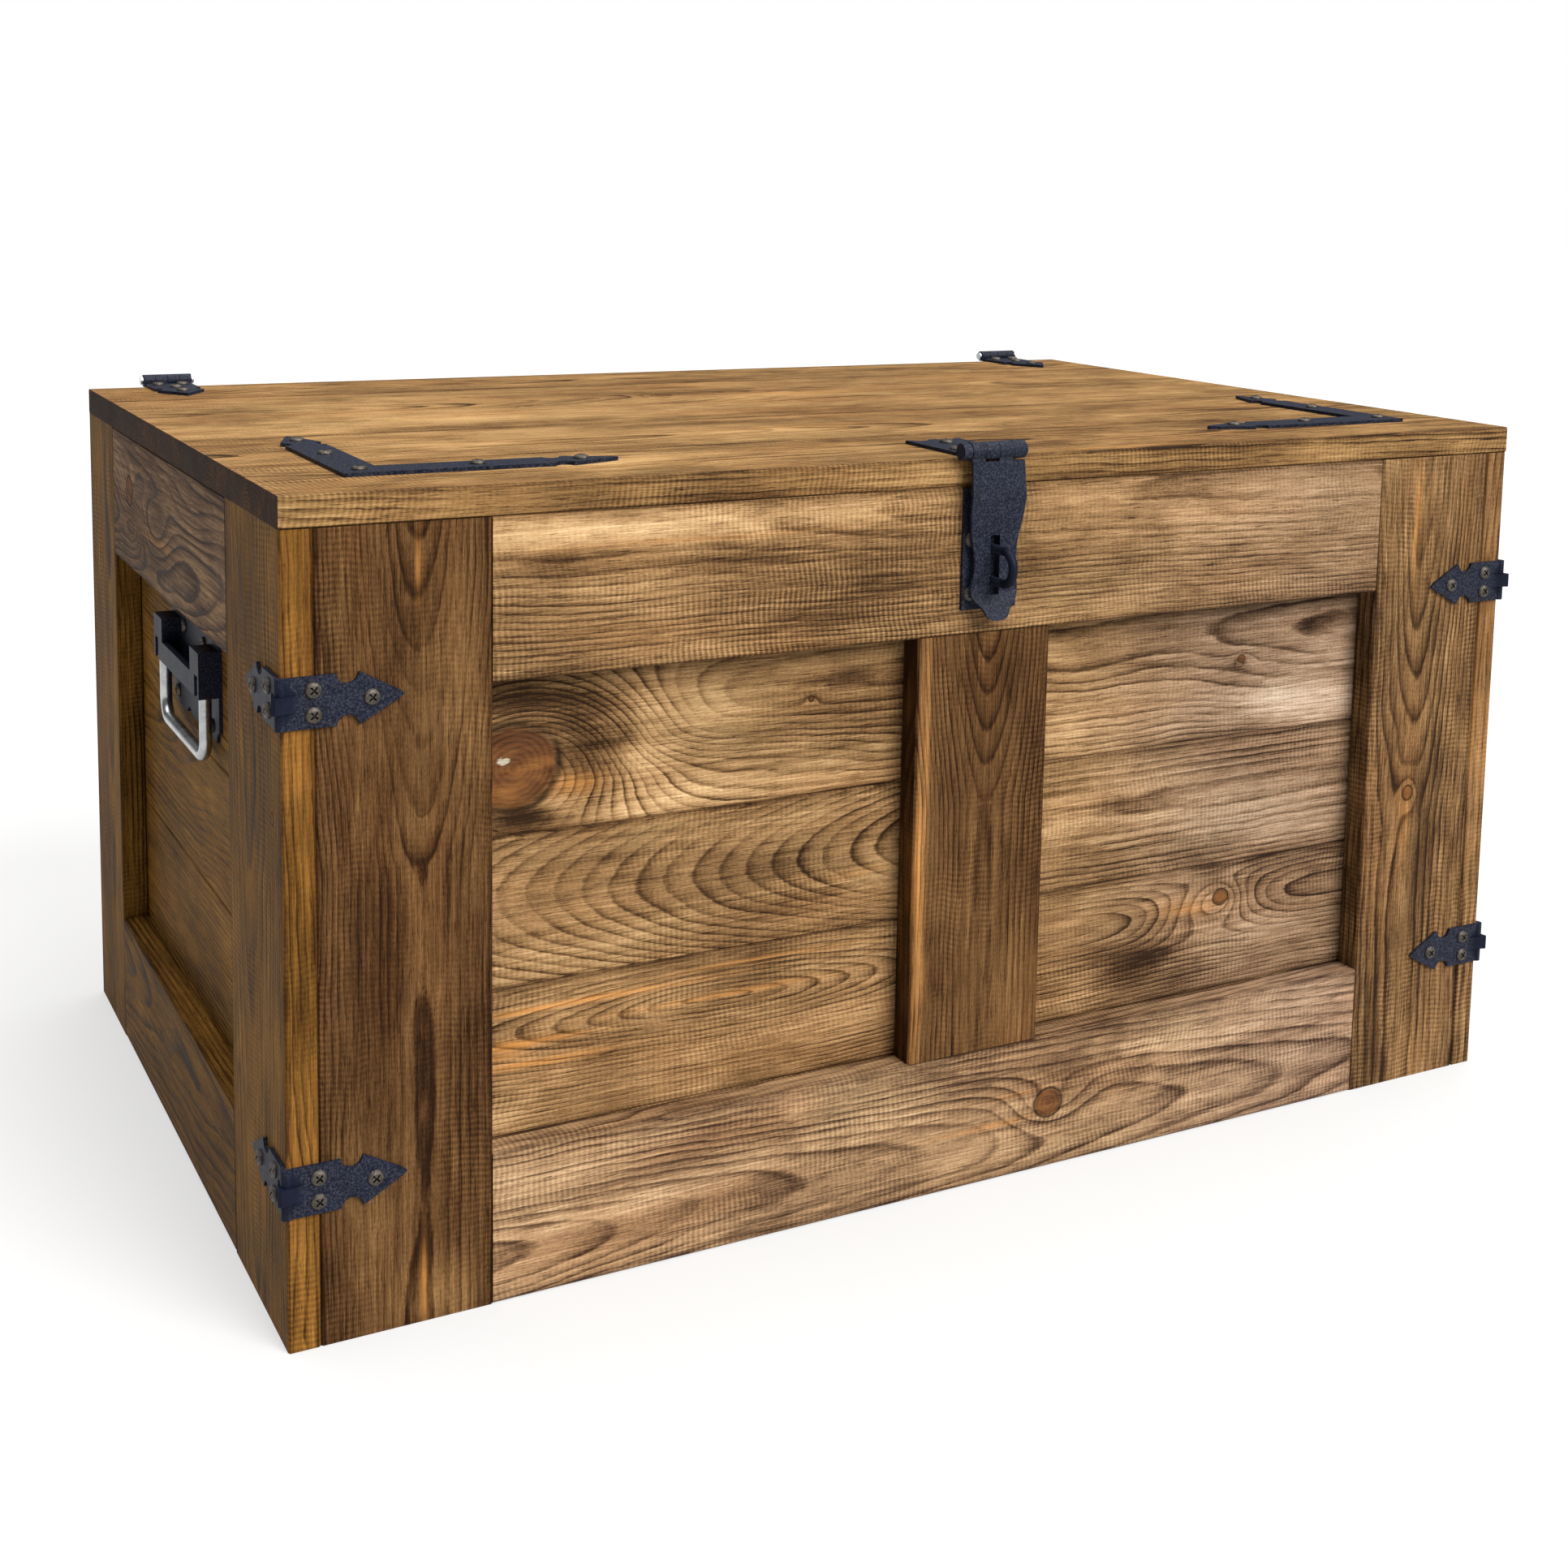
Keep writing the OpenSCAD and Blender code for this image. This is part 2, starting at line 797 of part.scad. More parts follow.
// Clamp with an ear at each end, a bore for the ring's bent end in each ear,
// and a slot in which the ring's leg swings out
module handle_clamp() {
  difference() {
    union() {
      for (s = [-1, 1])
        translate([plate_t, s > 0 ? handle_plate_l / 2 - ear_w : -handle_plate_l / 2, -ear_low])
          cube([ear_out - plate_t, ear_w, ear_low + ear_high]);
      translate([ear_out - clamp_bar_t, ear_w - handle_plate_l / 2, -ear_low])
        cube([clamp_bar_t, handle_plate_l - 2 * ear_w, clamp_bar_h]);
      translate([plate_t, ear_w - handle_plate_l / 2, -ear_low])
        cube([ear_out - plate_t, handle_plate_l - 2 * ear_w, clamp_bar_t - 1]);
    }
    for (s = [-1, 1]) {
      translate([ear_slot_in, s * ring_half - ear_slot_w / 2, -big])
        cube([big, ear_slot_w, big + ear_slot_top]);
      translate([pivot_out, s * (ring_half - ring_stub), 0])
        rotate([-s * 90, 0, 0])
          translate([0, 0, -1])
            cylinder(r = ring_wire / 2 + run_fit, h = ring_stub + 1, $fn = 40);
    }
  }
}
module handle_clamps() color(iron) at_handles() handle_clamp();

// Ring: a bar, two rounded corners, two legs and the bent ends in the ears
module ring() {
  r = ring_wire / 2;
  low = r - ring_drop;
  translate([pivot_out, 0, 0]) {
    translate([0, 0, low])
      rotate([90, 0, 0])
        cylinder(r = r, h = 2 * (ring_half - ring_corner), center = true, $fn = 40);
    for (s = [-1, 1]) {
      translate([0, s * (ring_half - ring_corner), low + ring_corner])
        rotate([0, 90, 0])
          rotate([0, 0, s > 0 ? 0 : -90])
            rotate_extrude(angle = 90, $fn = 48)
              translate([ring_corner, 0])
                circle(r = r, $fn = 40);
      translate([0, s * ring_half, low + ring_corner])
        cylinder(r = r, h = -low - ring_corner, $fn = 40);
      translate([0, s * ring_half, 0]) sphere(r = r, $fn = 40);
      translate([0, s * ring_half, 0])
        rotate([s * 90, 0, 0])
          cylinder(r = r, h = ring_stub - 0.5, $fn = 40);
    }
  }
}
module handle_ring_left() color(steel) at_handles([-1]) ring();
module handle_ring_right() color(steel) at_handles([1]) ring();

front_stile_left();
front_stile_right();
front_stile_centre();
front_rail_top();
front_rail_bottom();
side_stile_front_left();
side_stile_front_right();
side_stile_back_left();
side_stile_back_right();
side_rail_top_left();
side_rail_top_right();
side_rail_bottom_left();
side_rail_bottom_right();
front_board_1();
front_board_2();
front_board_3();
front_board_4();
front_board_5();
back_board_1();
back_board_2();
back_board_3();
back_board_4();
back_board_5();
side_boards_left();
side_boards_right();
corner_posts();
floor_cleats();
floor_boards();
lid_plank_1();
lid_plank_2();
lid_plank_3();
lid_plank_4();
lid_batten_left();
lid_batten_right();
batten_screws();
corner_brackets();
corner_bracket_screws();
lid_brackets();
lid_bracket_screws();
hinge_lid_leaves();
hinge_lid_screws();
hinge_back_leaves();
hinge_back_screws();
hinge_pins();
hasp_leaf();
hasp_leaf_screws();
hasp_strap();
hasp_pin();
staple_plate();
staple_screws();
staple();
handle_plates();
handle_screws();
handle_clamps();
handle_ring_left();
handle_ring_right();
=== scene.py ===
"""Looks for the wooden chest: stained, rough-sawn boards, black powder-coated iron and bright steel rings."""

import json
import math

import bpy
from mathutils import Matrix, Vector


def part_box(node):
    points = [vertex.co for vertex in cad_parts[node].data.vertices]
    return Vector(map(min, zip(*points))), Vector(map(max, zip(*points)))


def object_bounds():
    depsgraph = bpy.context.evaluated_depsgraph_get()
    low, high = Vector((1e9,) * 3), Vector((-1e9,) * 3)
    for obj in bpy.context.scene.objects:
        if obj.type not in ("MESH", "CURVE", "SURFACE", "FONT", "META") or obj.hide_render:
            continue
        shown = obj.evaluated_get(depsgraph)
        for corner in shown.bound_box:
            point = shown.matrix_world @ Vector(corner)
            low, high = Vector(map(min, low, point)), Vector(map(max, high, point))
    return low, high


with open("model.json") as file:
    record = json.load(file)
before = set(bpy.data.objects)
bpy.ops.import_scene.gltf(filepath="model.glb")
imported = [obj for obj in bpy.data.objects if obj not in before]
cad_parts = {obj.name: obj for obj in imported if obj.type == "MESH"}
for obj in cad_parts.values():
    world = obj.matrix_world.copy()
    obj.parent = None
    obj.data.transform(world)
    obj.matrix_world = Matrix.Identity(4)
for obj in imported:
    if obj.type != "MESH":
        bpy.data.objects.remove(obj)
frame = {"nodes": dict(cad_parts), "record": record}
cad_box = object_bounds()
nodes = frame["nodes"]
slots = {p["node"]: p["material_slot"] for p in frame["record"]["subparts"]}
scene = bpy.context.scene


# ---------------------------------------------------------------- node arithmetic
class S:
    """A socket in a shader tree that can be used in ordinary arithmetic."""

    def __init__(self, tree, socket):
        self.tree, self.socket = tree, socket

    def _math(self, op, *others, clamp=False):
        n = self.tree.nodes.new("ShaderNodeMath")
        n.operation, n.use_clamp = op, clamp
        for i, o in enumerate((self, *others)):
            put(self.tree, n.inputs[i], o)
        return S(self.tree, n.outputs[0])

    def __add__(self, o): return self._math("ADD", o)
    def __radd__(self, o): return self._math("ADD", o)
    def __sub__(self, o): return self._math("SUBTRACT", o)
    def __rsub__(self, o): return (self * -1) + o
    def __mul__(self, o): return self._math("MULTIPLY", o)
    def __rmul__(self, o): return self._math("MULTIPLY", o)
    def __truediv__(self, o): return self._math("DIVIDE", o)
    def abs(self): return self._math("ABSOLUTE")
    def sqrt(self): return self._math("SQRT")
    def exp(self): return self._math("EXPONENT")
    def sin(self): return self._math("SINE")
    def fract(self): return self._math("FRACT")
    def floor(self): return self._math("FLOOR")
    def clamp(self): return self._math("ADD", 0.0, clamp=True)
    def min(self, o): return self._math("MINIMUM", o)
    def max(self, o): return self._math("MAXIMUM", o)

    def step(self, low, high, out_low=0.0, out_high=1.0):
        """Smooth step from out_low at low to out_high at high."""
        n = self.tree.nodes.new("ShaderNodeMapRange")
        n.interpolation_type = "SMOOTHSTEP"
        for name, v in (("Value", self), ("From Min", low), ("From Max", high),
                        ("To Min", out_low), ("To Max", out_high)):
            put(self.tree, n.inputs[name], v)
        return S(self.tree, n.outputs[0])


def put(tree, socket, value):
    if isinstance(value, S):
        tree.links.new(value.socket, socket)
    else:
        socket.default_value = value


def vec(tree, x, y, z):
    n = tree.nodes.new("ShaderNodeCombineXYZ")
    for i, v in enumerate((x, y, z)):
        put(tree, n.inputs[i], v)
    return S(tree, n.outputs[0])


def noise(tree, v, scale=1.0, detail=2.0, rough=0.5, distortion=0.0):
    n = tree.nodes.new("ShaderNodeTexNoise")
    put(tree, n.inputs["Vector"], v)
    n.inputs["Scale"].default_value = scale
    n.inputs["Detail"].default_value = detail
    n.inputs["Roughness"].default_value = rough
    n.inputs["Distortion"].default_value = distortion
    return S(tree, n.outputs[0])


def ramp(tree, fac, stops):
    n = tree.nodes.new("ShaderNodeValToRGB")
    n.color_ramp.interpolation = "LINEAR"
    el = n.color_ramp.elements
    while len(el) < len(stops):
        el.new(0.5)
    for e, (at, colour) in zip(el, sorted(stops)):
        e.position = at
        e.color = (*colour, 1.0) if isinstance(colour, tuple) else (colour, colour, colour, 1.0)
    put(tree, n.inputs[0], fac)
    return S(tree, n.outputs[0])


def mix(tree, fac, a, b, mode="MIX"):
    n = tree.nodes.new("ShaderNodeMix")
    n.data_type, n.blend_type = "RGBA", mode
    put(tree, n.inputs[0], fac)
    for i, c in ((6, a), (7, b)):
        put(tree, n.inputs[i], c if isinstance(c, S) else (*c, 1.0))
    return S(tree, n.outputs[2])


def bump(tree, height, distance, strength):
    n = tree.nodes.new("ShaderNodeBump")
    put(tree, n.inputs["Height"], height)
    n.inputs["Distance"].default_value = distance
    n.inputs["Strength"].default_value = strength
    return S(tree, n.outputs[0])


def blob(du, de):
    """A soft round spot: 1 at its middle, fading to 0 about 2 half sizes away."""
    return ((du * du + de * de) * -1.0).exp()


def new_material(name):
    m = bpy.data.materials.new(name)
    m.use_nodes = True
    tree = m.node_tree
    tree.nodes.clear()
    out = tree.nodes.new("ShaderNodeOutputMaterial")
    shader = tree.nodes.new("ShaderNodeBsdfPrincipled")
    tree.links.new(shader.outputs[0], out.inputs[0])
    return m, tree, shader


def coords(tree):
    """Object coordinates in millimetres, which follow the piece when it moves, and its surface normal."""
    t = tree.nodes.new("ShaderNodeTexCoord")
    out = []
    for name in ("Object", "Normal"):
        s = tree.nodes.new("ShaderNodeSeparateXYZ")
        tree.links.new(t.outputs[name], s.inputs[0])
        out.append([S(tree, o) for o in s.outputs])
    return [c * 1000.0 for c in out[0]], out[1]


def dress(node, m):
    o = nodes[node]
    o.data.materials.clear()
    o.data.materials.append(m)


# ---------------------------------------------------------------- wood
TONES = {
    # name: (darkest, dark, middle, light, lightest) stain colours, linear
    "umber": ((0.016, 0.006, 0.002), (0.050, 0.022, 0.007), (0.112, 0.055, 0.020),
              (0.210, 0.112, 0.042), (0.360, 0.208, 0.086)),
    "walnut": ((0.022, 0.010, 0.004), (0.090, 0.046, 0.018), (0.230, 0.130, 0.055),
               (0.416, 0.260, 0.124), (0.634, 0.440, 0.238)),
    "honey": ((0.020, 0.009, 0.003), (0.090, 0.045, 0.016), (0.228, 0.128, 0.048),
              (0.390, 0.240, 0.103), (0.560, 0.380, 0.185)),
    "olive": ((0.024, 0.011, 0.003), (0.090, 0.048, 0.014), (0.190, 0.106, 0.034),
              (0.330, 0.200, 0.074), (0.480, 0.310, 0.130)),
    "plum": ((0.034, 0.016, 0.008), (0.125, 0.070, 0.036), (0.300, 0.182, 0.094),
             (0.510, 0.345, 0.198), (0.720, 0.530, 0.340)),
}
KNOT_RED = (0.100, 0.036, 0.014)
KNOT_DARK = (0.012, 0.005, 0.002)
FLAME = (0.560, 0.235, 0.055)
BARE_WOOD = (0.50, 0.46, 0.36)
# what the stain is multiplied by where it is redder or greyer and on end grain, and the blue tint of a painted
# reflection
REDDER, GREYER = (0.95, 0.70, 0.52), (0.80, 0.92, 0.90)
PAINTED_BLUE_SHEEN, END_GRAIN = (0.90, 1.00, 1.42), (0.70, 0.54, 0.32)
BLADE_PITCH = 3.1  # mm between saw marks
WOOD_RELIEF = 0.00055  # metres of bump at full height
WOOD_ROUGHNESS = 0.52


def wood(node, axes, tone, seed, pith=(0, -60), tilt=0.03, ring=4.2, knots=(), eyes=(), patches=(),
         flames=(), saw=1.0, contrast=1.0, lift=0.0, relief=1.0, reach=(-999, 999), wave=1.0,
         painted_sheen=None, spots=(), edge=0.0, wash=(1.0, 1.0, 1.0)):
    """A board sawn out of a log.

    All places and sizes are in mm, in the chest's frame.
    axes: which of x, y, z runs along the grain, across it on the shown face, and into the board.
    tone: its stain, from TONES. seed: shifts its noise, so that no two boards are alike.
    pith: where the log's heart lies, across the board and into it, from the board's middle.
    tilt: how fast the heart nears the face along the board, which draws the cathedral arches.
    reach: the stretch along the grain where the tilt acts. ring: the width of a year's growth.
    wave: how crooked the log is.
    knots: (along, across, radius) dark-rimmed knots.
    eyes: (along, across, half length, half height, push) closed loops of grain.
    patches: (along, across, half length, half height, amount) stained lighter or darker.
    flames: (along, across, half length, half height, amount) orange streaks.
    spots: (along, across, half length, half height) bare pale wood.
    saw: how strong the saw marks are. contrast: how strong the grain's colours are.
    relief: how deep the grain's relief is. lift: lighter or darker all over.
    painted_sheen: (from, to, amount) a stretch along the grain painted bluer and greyer, as a reflection of
    cool light.
    edge: how much lighter or darker the board's long edges are.
    wash: what its stain colours are multiplied by.
    """
    lo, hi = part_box(node)
    m, tree, shader = new_material("wood_" + node)
    xyz, nrm = coords(tree)
    ax = ["xyz".index(a) for a in axes]
    u, v, w = (xyz[i] for i in ax)
    mid = [(lo[i] + hi[i]) * 500.0 for i in ax]
    half = [(hi[i] - lo[i]) * 500.0 for i in ax]
    off = seed * 37.31

    def streaks(along, across, shift, detail=2.0, rough=0.5, distortion=0.0):
        """Noise with its own scale along and across the grain, in waves per mm."""
        at = vec(tree, u * along + (off + shift), v * across + shift, w * across - off)
        return noise(tree, at, 1.0, detail, rough, distortion)

    # slow waves bend the whole log, quick ones make the ring lines tremble
    slow = streaks(0.0045, 0.013, 1.7) - 0.5
    quick = streaks(0.022, 0.050, 5.1, 3.0) - 0.5
    fine = streaks(0.11, 0.42, 9.3, 2.0) - 0.5
    dv = v - (mid[1] + pith[0]) + slow * (22.0 * wave) + quick * (4.5 * wave)
    dw = w - mid[2] - pith[1] + (u.max(reach[0]).min(reach[1]) - mid[0]) * tilt + slow * (12.0 * wave)
    r = (dv * dv + dw * dw).sqrt() + fine * 0.5

    # closed loops of grain, and grain that flows round each knot
    round_knots = [(cu, cv, 3.4 * kr, 2.0 * kr, 1.15 * kr) for cu, cv, kr in knots]
    for cu, cv, su, sv, push in round_knots + list(eyes):
        du, de = (u - cu) / su, (v - cv) / sv
        r = r + blob(du, de) * push

    q = r / ring
    year = noise(tree, vec(tree, q.floor() * 7.13 + off, 0.0, 0.0), 1.0, 0.0)
    f = q.fract()
    late = ramp(tree, f, [(0.0, 0.62), (0.07, 0.0), (0.22, 0.02), (0.50, 0.12), (0.78, 0.48), (0.92, 1.0),
                          (1.0, 0.62)])
    late = late * year.step(0.30, 0.70, 0.38, 1.0)

    # fibres along the grain, pores, stain that took unevenly
    fibre = streaks(0.010, 0.55, 3.3, 3.0, 0.62)
    hair = streaks(0.045, 2.1, 7.9, 2.0, 0.6)
    blotch = streaks(0.0075, 0.019, 12.1, 3.0, 0.55, 0.6)
    cloud = streaks(0.030, 0.065, 15.7, 3.0, 0.6)

    # blade marks across the grain, broken up by the fibres into a weave
    pitch = u * (2.0 * math.pi / BLADE_PITCH) + streaks(0.006, 0.03, 21.0) * 22.0 + fine * 1.4 + v * 0.10
    blade = pitch.sin() * 0.5 + 0.5
    ridge = streaks(0.03, 0.62, 27.0, 1.0, 0.5)
    bare = streaks(0.010, 0.017, 31.0, 2.0).step(0.36, 0.62, 0.25, 1.0)
    patchy = streaks(0.018, 0.07, 36.0, 2.0).step(0.35, 0.65, 0.35, 1.0)
    weave = (blade * patchy * 0.55 + ridge * 0.85 - 0.68) * bare * saw

    shown = streaks(0.010, 0.030, 53.0, 2.0).step(0.32, 0.62, 0.30, 1.10)
    fleck = streaks(0.085, 1.35, 61.0, 2.0, 0.6).step(0.57, 0.72)
    grit = streaks(0.55, 1.1, 67.0, 2.0, 0.7) - 0.5
    tone_at = (0.53 + lift + (fibre - 0.5) * (0.46 * contrast) + (hair - 0.5) * 0.52 + grit * 0.30
               - fleck * 0.17 + (blotch - 0.5) * (0.48 * contrast) + (cloud - 0.5) * 0.30
               - late * shown * (0.40 * contrast) + weave * 0.25)
    for cu, cv, su, sv, amount in patches:
        du, de = (u - cu) / su + (cloud - 0.5) * 1.6, (v - cv) / sv + (blotch - 0.5) * 1.6
        tone_at = tone_at + blob(du, de) * amount

    # darker along the arrises and in the seams, partly stain gathered there and partly painted shade in the
    # seams; end grain drinks the stain
    rim = ((v - mid[1]).abs() * -1.0 + half[1]).max((w - mid[2]).abs() * -1.0 + half[2]).max(0.0)
    tone_at = tone_at - (rim * -0.35).exp() * 0.16 - (rim * -2.2).exp() * 0.22
    end = nrm[ax[0]].abs().step(0.75, 0.95)
    tone_at = tone_at - end * 0.34 + nrm[ax[1]].abs().step(0.75, 0.95) * edge

    pal = [tuple(c * k for c, k in zip(stain, wash)) for stain in TONES[tone]]
    colour = ramp(tree, tone_at.clamp(), list(zip((0.06, 0.28, 0.50, 0.72, 0.95), pal)))
    warm = streaks(0.006, 0.03, 41.0, 2.0).step(0.45, 0.75) * 0.30
    colour = mix(tree, warm, colour, REDDER, "MULTIPLY")
    grey = streaks(0.009, 0.024, 47.0, 2.0).step(0.50, 0.78) * 0.34
    colour = mix(tree, grey, colour, GREYER, "MULTIPLY")
    colour = mix(tree, end, colour, END_GRAIN, "MULTIPLY")

    # painted reflection: a bluish tint over a stretch along the grain, for cool light glancing off the boards
    if painted_sheen:
        colour = mix(tree, u.step(painted_sheen[0], painted_sheen[1], 0.0, painted_sheen[2]), colour, PAINTED_BLUE_SHEEN, "MULTIPLY")

    for cu, cv, su, sv, amount in flames:
        du, de = (u - cu) / su + (cloud - 0.5) * 1.2, (v - cv) / sv + quick * 2.2
        heat = blob(du, de) * late.step(0.0, 0.8, 1.0, 0.45) * fibre.step(0.30, 0.62, 0.25, 1.0)
        colour = mix(tree, (heat * amount).clamp(), colour, FLAME)

    height = weave * 0.55 - late * (0.45 * relief) + fibre * 0.55 + hair * 0.35 + grit * 0.25 - fleck * 0.4
    for cu, cv, kr in knots:
        du, de = (u - cu) / (kr * 1.12) + quick * 0.25, (v - cv) / kr + (cloud - 0.5) * 0.22
        d = (du * du + de * de).sqrt()
        rings = (d * (kr * 2.1) + fine * 2.5 + quick * 4.0).sin() * 0.5 + 0.5
        inner = mix(tree, (rings * 0.42 + d.step(0.35, 1.0, 0.0, 0.25)).clamp(), KNOT_RED, KNOT_DARK)
        inner = mix(tree, cloud.step(0.40, 0.8, 0.0, 0.30), inner, FLAME)
        colour = mix(tree, d.step(0.86, 1.02, 1.0, 0.0) * 0.92, colour, inner)
        bark = (d - 1.02).abs().step(0.0, 0.17, 1.0, 0.0) * cloud.step(0.30, 0.55, 0.35, 1.0)
        colour = mix(tree, bark * 0.88, colour, KNOT_DARK)
        height = height - bark * 1.2 + d.step(0.5, 1.0, 0.7, 0.0)

    for cu, cv, su, sv in spots:
        du, de = (u - cu) / su + quick * 0.9, (v - cv) / sv + (cloud - 0.5) * 2.6 + grit * 2.0
        colour = mix(tree, (du * du + de * de).step(0.5, 1.4, 0.75, 0.0), colour, BARE_WOOD)

    tree.links.new(colour.socket, shader.inputs["Base Color"])
    put(tree, shader.inputs["Roughness"], (hair * 0.16 + late * -0.10 + cloud * 0.12 + WOOD_ROUGHNESS).clamp())
    shader.inputs["Specular IOR Level"].default_value = 0.05
    put(tree, shader.inputs["Normal"], bump(tree, height, WOOD_RELIEF, 0.85))
    dress(node, m)


# ---------------------------------------------------------------- metal
def metal(name, colour, rough, metallic, speckle=0.0, brushed=0.0, wear=0.0, tint=(1.0, 1.0, 1.0), gloss=0.3,
          hole_shade=0.0):
    """Powder-coated or plated metal.

    speckle, brushed: how strong its coat's texture and brush marks are. gloss: its specular level.
    wear, tint: how far its edges are rubbed, and to what colour. hole_shade: how dark the painted shade in its
    narrow holes is.
    """
    m, tree, shader = new_material(name)
    (x, y, z), _ = coords(tree)
    v = vec(tree, x, y, z)
    grainy = noise(tree, v, 2.6, 3.0, 0.6)
    broad = noise(tree, v, 0.09, 3.0, 0.6)
    dust = noise(tree, v, 0.9, 4.0, 0.7)
    edge = tree.nodes.new("ShaderNodeNewGeometry")
    point = S(tree, edge.outputs["Pointiness"])
    worn = point.step(0.505, 0.56) * dust.step(0.42, 0.66)
    base = mix(tree, broad.step(0.30, 0.72), tuple(c * 0.80 for c in colour), tuple(c * 1.25 for c in colour))
    base = mix(tree, dust.step(0.56, 0.74) * 0.35, base, tuple(min(1.0, c * 1.9 + 0.004) for c in colour))
    base = mix(tree, worn * wear, base, tint)
    # painted shade: ambient occlusion darkens narrow holes, such as the crosses in the screw heads
    if hole_shade:
        hole = tree.nodes.new("ShaderNodeAmbientOcclusion")
        hole.samples, hole.only_local = 6, True
        hole.inputs["Distance"].default_value = 0.0016
        base = mix(tree, S(tree, hole.outputs["AO"]).step(0.45, 0.90, hole_shade, 0.0), base, (0.004, 0.004, 0.004))
    tree.links.new(base.socket, shader.inputs["Base Color"])
    put(tree, shader.inputs["Roughness"], (broad * 0.16 + dust * 0.12 + (rough - 0.14)).clamp())
    shader.inputs["Metallic"].default_value = metallic
    shader.inputs["Specular IOR Level"].default_value = gloss
    height = grainy * speckle + noise(tree, v, 0.35, 3.0) * 0.6
    if brushed:
        height = height + noise(tree, vec(tree, x * 0.4, y * 3.0, z * 0.25), 2.0, 3.0, 0.7) * brushed
    put(tree, shader.inputs["Normal"], bump(tree, height, 0.00022, 0.7))
    return m


# ---------------------------------------------------------------- boards
# Front frame: x across or along, z up, y into the board
wood("front_stile_left", "zxy", "umber", 1, pith=(8, 26), tilt=0.095, ring=2.6, reach=(235, 420), wave=0.8,
     flames=[(382, -323, 16, 1.3, 0.45), (22, -322, 22, 1.8, 0.80)],
     patches=[(14, -318, 20, 26, 0.26), (44, -345, 26, 12, 0.18), (230, -345, 90, 16, -0.10),
              (330, -300, 60, 12, 0.10), (200, -325, 70, 8, 0.14), (300, -352, 50, 10, 0.12)], contrast=1.0,
     lift=-0.11)
wood("front_stile_right", "zxy", "walnut", 2, pith=(-8, 30), tilt=0.070, ring=2.8, reach=(170, 420),
     knots=[(190, 322, 4.2)], flames=[(365, 318, 34, 2.0, 0.60), (175, 320, 26, 4, 0.35)],
     patches=[(300, 350, 120, 10, 0.08), (60, 300, 60, 14, -0.10), (140, 340, 80, 10, -0.12)], lift=-0.10)
wood("front_stile_centre", "zxy", "umber", 3, pith=(4, 22), tilt=0.115, ring=2.5, reach=(225, 330), wave=0.6,
     flames=[(170, -38.5, 130, 3.2, 0.50)],
     patches=[(180, -38, 160, 4.5, 0.34), (120, 20, 50, 12, 0.12), (230, 34, 80, 8, -0.08),
              (290, 8, 40, 20, -0.10)], lift=-0.05, edge=-0.29)
wood("front_rail_top", "xzy", "walnut", 4, pith=(34, 44), tilt=0.012, ring=2.4, wave=0.5,
     patches=[(-230, 394, 70, 10, 0.26), (-110, 396, 90, 8, 0.16), (-80, 350, 70, 24, -0.14),
              (200, 382, 120, 14, 0.08), (-246, 378, 24, 7, -0.22), (-158, 374, 40, 6, -0.16),
              (60, 355, 120, 10, -0.06)], flames=[(-170, 386, 60, 1.4, 0.25)], saw=1.6, contrast=0.85,
     lift=-0.01, painted_sheen=(0, 280, 0.6))
wood("front_rail_bottom", "xzy", "plum", 5, pith=(-16, 34), tilt=-0.055, ring=3.4, knots=[(53, 39, 8.5)],
     flames=[(12, 33, 30, 1.6, 0.55), (30, 48, 18, 1.4, 0.35)],
     patches=[(-250, 62, 60, 12, 0.18), (180, 60, 120, 14, 0.10), (75, 60, 40, 14, -0.16),
              (-120, 24, 90, 8, -0.10), (-215, 36, 60, 7, 0.16), (-70, 50, 50, 9, 0.14)], saw=1.1, lift=-0.05,
     painted_sheen=(60, 280, 0.5))

# Front boards, seen left and right of the middle stile
wood("front_board_4", "xzy", "walnut", 6, pith=(20, 40), tilt=0.020, ring=2.9,
     knots=[(-270, 273, 22), (196, 285, 2.4), (-100, 291, 1.6)],
     eyes=[(-258, 276, 62, 38, 34), (-120, 262, 80, 16, 8)], spots=[(-275, 277, 3.4, 1.9)], painted_sheen=(40, 200, 1.0),
     patches=[(-232, 288, 14, 24, -0.26), (-214, 282, 14, 20, -0.20), (-175, 250, 44, 9, 0.30),
              (-165, 290, 44, 12, 0.22), (-262, 308, 34, 9, -0.30), (-268, 246, 18, 6, -0.42),
              (-110, 296, 50, 12, -0.08), (120, 262, 80, 20, 0.14), (250, 255, 50, 14, 0.24),
              (-196, 268, 16, 9, 0.20)], flames=[(-238, 262, 16, 5, 0.45)], contrast=1.15, relief=1.9, saw=0.5,
     lift=-0.01)
wood("front_board_3", "xzy", "walnut", 7, pith=(5, 24), tilt=0.150, ring=2.4, reach=(-300, -20), wave=0.45,
     patches=[(-250, 176, 60, 16, 0.06), (150, 200, 120, 26, 0.12), (260, 180, 50, 20, 0.04),
              (-130, 200, 50, 16, -0.08)], flames=[(-62, 190, 24, 2.4, 0.25)], contrast=1.0, saw=0.9,
     lift=-0.02, painted_sheen=(40, 200, 0.9))
